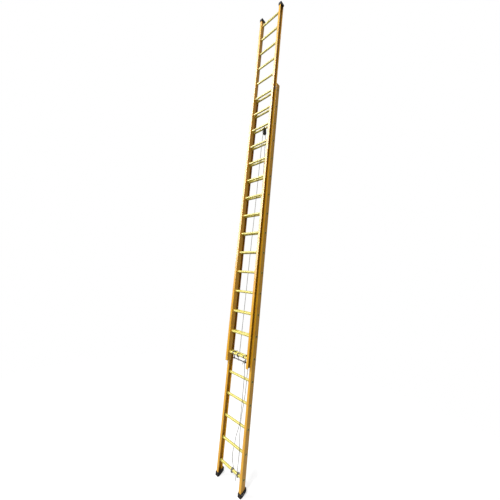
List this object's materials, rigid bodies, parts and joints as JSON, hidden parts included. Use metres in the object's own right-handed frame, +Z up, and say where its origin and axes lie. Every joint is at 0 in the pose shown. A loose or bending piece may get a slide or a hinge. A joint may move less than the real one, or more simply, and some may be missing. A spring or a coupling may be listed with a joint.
{
  "type": "extension ladder",
  "caption": "Two-section extension ladder with glass-fibre channel rails, tube rungs, a rung lock, a pulley and its halyard, with the fly section partly raised.",
  "frame": {"origin": "on the ground under the middle of the ladder's box", "axes": "+Z up along the rails, +X along the rungs to the right as seen from the climber's side, +Y from the fly section back to the base section"},
  "size_m": [0.504, 0.172, 7.54],
  "materials": {
    "rail_fibreglass": "pultruded glass-fibre, semi-gloss yellow",
    "rung_fibreglass": "glass-fibre tube, semi-gloss yellow",
    "rubber": "matte black",
    "guide_steel": "zinc plated",
    "lock_steel": "dark grey",
    "pulley_steel": "black",
    "sheave_nylon": "black, satin",
    "rope": "braided synthetic cord"
  },
  "bodies": {
    "base": {"base_rail_left": "rail_fibreglass", "base_rail_right": "rail_fibreglass", "foot_boot_left": "rubber", "foot_boot_right": "rubber", "base_guide_left": "guide_steel", "base_guide_right": "guide_steel", "base_rung_01": "rung_fibreglass", "base_rung_02": "rung_fibreglass", "base_rung_03": "rung_fibreglass", "base_rung_04": "rung_fibreglass", "base_rung_05": "rung_fibreglass", "base_rung_06": "rung_fibreglass", "base_rung_07": "rung_fibreglass", "base_rung_08": "rung_fibreglass", "base_rung_09": "rung_fibreglass", "base_rung_10": "rung_fibreglass", "base_rung_11": "rung_fibreglass", "base_rung_12": "rung_fibreglass", "base_rung_13": "rung_fibreglass", "base_rung_14": "rung_fibreglass", "base_rung_15": "rung_fibreglass", "base_rung_16": "rung_fibreglass", "base_rung_17": "rung_fibreglass", "base_rung_18": "rung_fibreglass", "base_rung_19": "rung_fibreglass", "base_rung_20": "rung_fibreglass", "pulley_bracket": "pulley_steel", "halyard_haul": "rope", "halyard_hand": "rope", "halyard_tail": "rope"},
    "fly": {"fly_rail_left": "rail_fibreglass", "fly_rail_right": "rail_fibreglass", "top_cap_left": "rubber", "top_cap_right": "rubber", "fly_guide_left": "guide_steel", "fly_guide_right": "guide_steel", "fly_rung_01": "rung_fibreglass", "fly_rung_02": "rung_fibreglass", "fly_rung_03": "rung_fibreglass", "fly_rung_04": "rung_fibreglass", "fly_rung_05": "rung_fibreglass", "fly_rung_06": "rung_fibreglass", "fly_rung_07": "rung_fibreglass", "fly_rung_08": "rung_fibreglass", "fly_rung_09": "rung_fibreglass", "fly_rung_10": "rung_fibreglass", "fly_rung_11": "rung_fibreglass", "fly_rung_12": "rung_fibreglass", "fly_rung_13": "rung_fibreglass", "fly_rung_14": "rung_fibreglass", "fly_rung_15": "rung_fibreglass", "fly_rung_16": "rung_fibreglass", "fly_rung_17": "rung_fibreglass", "fly_rung_18": "rung_fibreglass", "fly_rung_19": "rung_fibreglass", "fly_rung_20": "rung_fibreglass"},
    "rung_lock": {"lock_hook_left": "lock_steel", "lock_hook_right": "lock_steel", "lock_link_rod": "lock_steel"},
    "sheave": {"pulley_sheave": "sheave_nylon"}
  },
  "joints": [
    {"name": "fly_slide", "type": "slide", "parent": "base", "child": "fly", "axis": [0, 0, 1], "range_m": [-1.5, 3], "deforming": ["halyard_haul", "halyard_tail"]},
    {"name": "rung_lock_pivot", "type": "hinge", "parent": "fly", "child": "rung_lock", "pos_m": [0, -0.041, 1.7], "axis": [1, 0, 0], "range_deg": [0, 32]},
    {"name": "pulley_spin", "type": "hinge", "parent": "base", "child": "sheave", "pos_m": [0.036, 0.022, 5.22], "axis": [1, 0, 0], "continuous": true}
  ]
}
